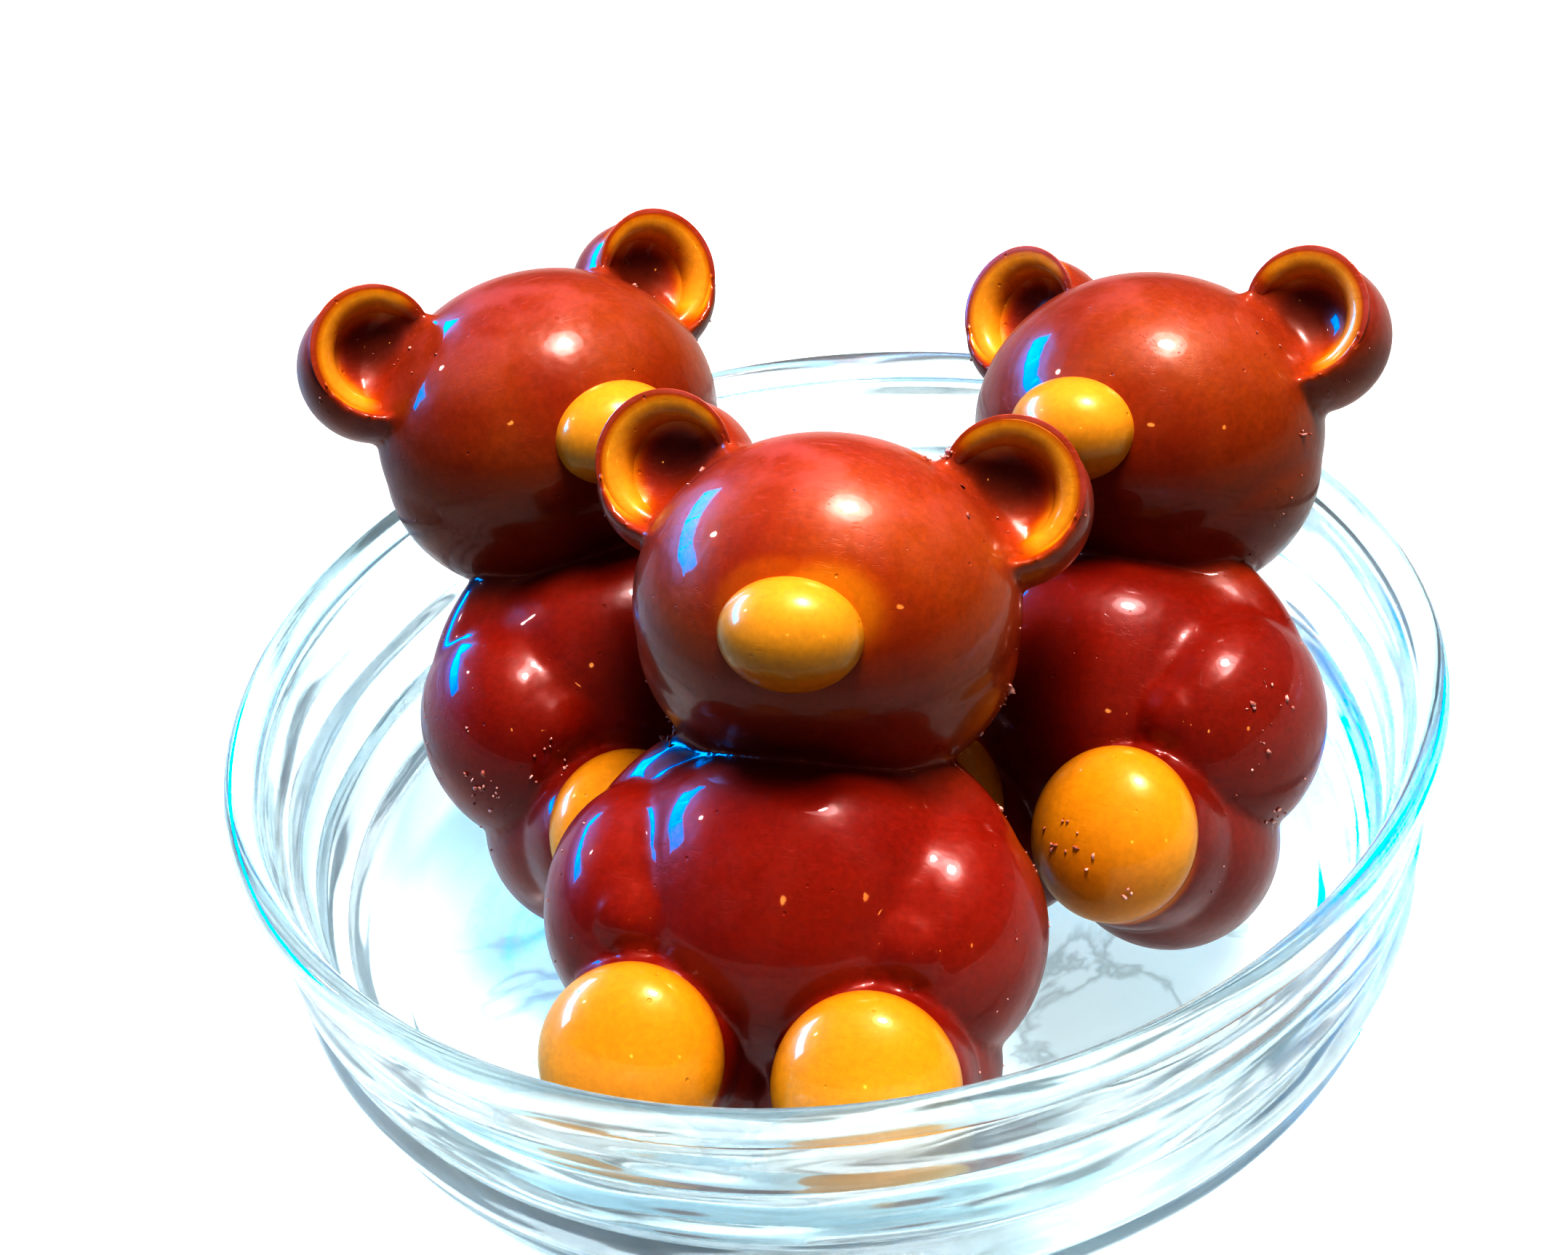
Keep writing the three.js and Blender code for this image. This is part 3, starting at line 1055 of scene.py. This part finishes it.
def aim_camera():
    """In front of the bowl, looking down into it, with a slight roll."""
    rise = math.radians(CAMERA["elevation"])
    back = Vector((0, -math.cos(rise), math.sin(rise)))
    right = Vector((1, 0, 0))
    up = back.cross(right)
    stand = Matrix((right, up, back)).transposed()
    turn = (
        Matrix.Rotation(math.radians(CAMERA["pitch"]), 3, "X")
        @ Matrix.Rotation(math.radians(CAMERA["yaw"]), 3, "Y")
        @ Matrix.Rotation(math.radians(CAMERA["roll"]), 3, "Z")
    )
    lens = bpy.data.cameras.new("camera")
    lens.sensor_fit = "HORIZONTAL"
    lens.sensor_width = CAMERA["sensor"]
    lens.lens = CAMERA["focal_px"] / CAMERA["picture_width"] * lens.sensor_width
    lens.clip_start, lens.clip_end = CAMERA["clip"]
    camera = bpy.data.objects.new("camera", lens)
    target = Vector((0, 0, BOWL["height"] * MM))
    where = target + back * CAMERA["distance"] * MM
    camera.matrix_world = Matrix.Translation(where) @ (stand @ turn).to_4x4()
    scene.collection.objects.link(camera)
    scene.camera = camera


def lay_floor():
    bm = bmesh.new()
    bmesh.ops.create_grid(bm, x_segments=1, y_segments=1, size=FLOOR["half_width"])
    bmesh.ops.translate(bm, verts=bm.verts, vec=(0, 0, -FLOOR["drop"]))
    mesh = mesh_of(bm, "floor")
    mesh.materials.append(floor_material())
    floor = new_piece("floor", mesh)
    floor.visible_diffuse = False  # so that it doesn't wash out the undersides of the sweets


def lamp(name, towards, distance, size, power, colour):
    """A lamp that stands in a direction from the bowl and faces it, a disc if it has one size."""
    light = bpy.data.lights.new(name, "AREA")
    light.shape = "DISK" if len(size) == 1 else "RECTANGLE"
    light.size, light.size_y = size[0], size[-1]
    light.energy = power
    light.color = colour
    stand = bpy.data.objects.new(name, light)
    direction = Vector(towards).normalized()
    stand.location = Vector(LAMP_TARGET) + direction * distance
    stand.rotation_euler = direction.to_track_quat("Z", "Y").to_euler()
    scene.collection.objects.link(stand)
    return stand


def set_lamps():
    gleams = [lamp(name, **settings) for name, settings in GLEAMS.items()]
    up = math.radians(WINDOW["rise"])
    for number, turn in enumerate(WINDOW["panes"]):
        across = math.radians(turn)
        towards = (math.sin(across) * math.cos(up), math.cos(across) * math.cos(up), math.sin(up))
        gleams.append(lamp(f"window pane {number}", towards, **PANE))
    for gleam in gleams:
        gleam.visible_diffuse = False
    lamp("soft box", **SOFT_BOX).visible_glossy = False  # it lights without a reflection
    for name, settings in WARM_LAMPS.items():
        lamp(name, **settings)


def light_room():
    """A dim room in reflections, brighter through the glass, with a pale wall behind it all."""
    world = bpy.data.worlds.new("room")
    world.use_nodes = True
    tree = world.node_tree
    tree.nodes.clear()
    where = add(tree, "ShaderNodeTexCoord").outputs["Generated"]
    split = add(tree, "ShaderNodeSeparateXYZ", {"Vector": where}).outputs
    room = ramp(tree, between(tree, split["Z"], -1.0, 1.0), *ROOM)
    leftward = maths(tree, "MULTIPLY", split["X"], -1.0, clamp=True)
    around = mix_colour(tree, leftward, room, ROOM_LEFT)
    in_glass = mix_colour(tree, leftward, GLASS_SIDES["right"], GLASS_SIDES["left"])
    ray = add(tree, "ShaderNodeLightPath").outputs
    seen = mix_colour(tree, ray["Is Transmission Ray"], around, in_glass)
    seen = mix_colour(tree, ray["Is Camera Ray"], seen, BACKDROP)
    sky = add(tree, "ShaderNodeBackground", {"Color": seen, "Strength": 1.0})
    add(tree, "ShaderNodeOutputWorld", {"Surface": sky.outputs["Background"]})
    scene.world = world


def finish_picture():
    """A camera's own finish: deeper shadows, brighter lights and slightly stronger blues."""
    scene.view_settings.view_transform = "Standard"
    scene.use_nodes = True
    tree = scene.node_tree
    tree.nodes.clear()
    layers = add(tree, "CompositorNodeRLayers")
    contrast = add(
        tree,
        "CompositorNodeGamma",
        {"Image": layers.outputs["Image"], "Gamma": PICTURE["contrast"]},
    )
    lift = add(
        tree,
        "CompositorNodeExposure",
        {"Image": contrast.outputs["Image"], "Exposure": PICTURE["exposure"]},
    )
    blues = add(tree, "CompositorNodeHueCorrect", {"Image": lift.outputs["Image"]})
    low, high = PICTURE["blue_hues"]
    saturation = blues.mapping.curves[1]
    for point in saturation.points:  # by hue, with 0.5 for no change
        if low < point.location[0] < high:
            point.location[1] = 0.5 * PICTURE["vivid_blues"]
    blues.mapping.update()
    add(tree, "CompositorNodeComposite", {"Image": blues.outputs["Image"]})


# ---- The scene ---------------------------------------------------------------------------------

BACK_BEARS_PAINTED_SHADE = 0.14  # painted shade on the two bears that sit further back, all over

aim_camera()
lay_floor()
set_lamps()
light_room()
finish_picture()

marks = handling_marks()
colours = sweet_colours()
chocolate = sweet_material(
    "milk chocolate", marks, colours, scuffing=0.8, gloss=0.34, coat_roughness=0.05
)
caramel = sweet_material(
    "caramel chocolate", marks, colours, scuffing=0.5, gloss=0.36, coat_roughness=0.07
)
shavings = crumb_material()
glass_bowl(glass_material())

body = body_mould()
keep_own_place(body)
smeared_body = body.copy()
body_points = values_of(body, "co")
paint = np.maximum(dish_paint(body_points), foot_fade(body_points))
# painted shade, kept on the points as the shade value
shade = painted_shade(body_points)
keep_values(body, "caramel", paint)
keep_values(body, "shade", np.maximum(shade, BACK_BEARS_PAINTED_SHADE))
keep_values(smeared_body, "caramel", np.maximum(paint, snout_smear(body_points)))
keep_values(smeared_body, "shade", shade)

snout = snout_mould()
keep_own_place(snout)
keep_values(snout, "caramel", snout_paint(snout))
pads, lips = {}, {}
for word, side in SIDES.items():
    pads[word] = pad_mould(side)
    keep_own_place(pads[word])
    keep_values(pads[word], "caramel", pad_paint(pads[word]))
    lips[word] = lip_mould(side)
    keep_own_place(lips[word])
    keep_values(lips[word], "caramel", lip_paint(lips[word], side))

coated = (body, *pads.values())
coat_points = np.vstack([values_of(mesh, "co") for mesh in coated])
coat_normals = np.vstack([values_of(mesh, "normal") for mesh in coated])
for name, bear in BEARS.items():
    mould = smeared_body if name == "front_bear" else body
    put(mould, f"{name}_skin", bear, chocolate, "chocolate", f"{name}_body")
    put(snout, f"{name}_muzzle", bear, caramel, "caramel", f"{name}_snout")
    for word in SIDES:
        foot, ear = f"{name}_{word}", f"{name}_{word}_ear"
        put(pads[word], f"{foot}_sole", bear, caramel, "caramel", f"{foot}_pad")
        put(lips[word], f"{ear}_lip", bear, caramel, "caramel", f"{ear}_rim")
    crumbs(f"{name}_crumbs", bear, shavings, coat_points, coat_normals)
